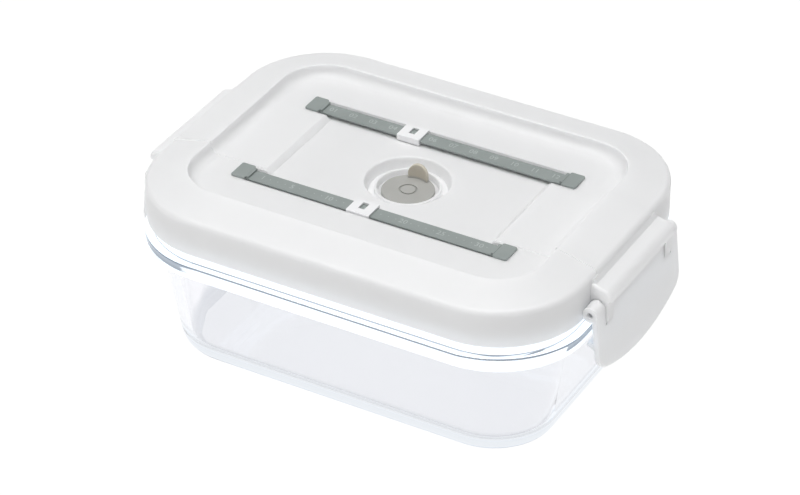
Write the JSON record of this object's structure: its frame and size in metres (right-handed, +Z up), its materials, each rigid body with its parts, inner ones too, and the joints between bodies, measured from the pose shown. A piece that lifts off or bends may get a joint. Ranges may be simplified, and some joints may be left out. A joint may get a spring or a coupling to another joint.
{
  "type": "vacuum food container",
  "caption": "Rectangular glass food container with a white vacuum lid, fold-down side latches, sliding date reminders and a silicone pull valve.",
  "frame": {"origin": "middle of the glass base, on the surface that it stands on", "axes": "+X along the long side towards the right latch, +Y towards the month rail, +Z up"},
  "size_m": [0.236, 0.1608, 0.0909],
  "materials": {
    "clear_glass": "clear pressed glass",
    "white_plastic": "satin",
    "grey_plastic": "satin",
    "grey_silicone": "matt",
    "pale_silicone": "matt",
    "steel": "plain"
  },
  "bodies": {
    "glass": {"glass_body": "clear_glass"},
    "lid": {"lid_shell": "white_plastic", "lid_inner_plate": "white_plastic", "lid_gasket": "pale_silicone", "valve_filter": "white_plastic", "latch_right_pin": "steel", "latch_left_pin": "steel", "month_rail": "grey_plastic", "date_rail": "grey_plastic"},
    "right_latch": {"latch_right_flap": "white_plastic"},
    "left_latch": {"latch_left_flap": "white_plastic"},
    "month_pointer": {"month_slider": "white_plastic"},
    "date_pointer": {"date_slider": "white_plastic"},
    "valve": {"valve_plug": "grey_silicone"}
  },
  "joints": [
    {"name": "lid_lift", "type": "slide", "parent": "glass", "child": "lid", "axis": [0, 0, 1], "range_m": [0, 0.09]},
    {"name": "right_latch_hinge", "type": "hinge", "parent": "lid", "child": "right_latch", "pos_m": [0.111, 0, 0.0717], "axis": [0, -1, 0], "range_deg": [-6, 80]},
    {"name": "left_latch_hinge", "type": "hinge", "parent": "lid", "child": "left_latch", "pos_m": [-0.111, 0, 0.0717], "axis": [0, 1, 0], "range_deg": [-6, 80]},
    {"name": "month_slide", "type": "slide", "parent": "lid", "child": "month_pointer", "axis": [1, 0, 0], "range_m": [-0.0385, 0.0695]},
    {"name": "date_slide", "type": "slide", "parent": "lid", "child": "date_pointer", "axis": [1, 0, 0], "range_m": [-0.0494, 0.0586]},
    {"name": "valve_pull", "type": "slide", "parent": "lid", "child": "valve", "axis": [0, 0, 1], "range_m": [0, 0.002]}
  ]
}
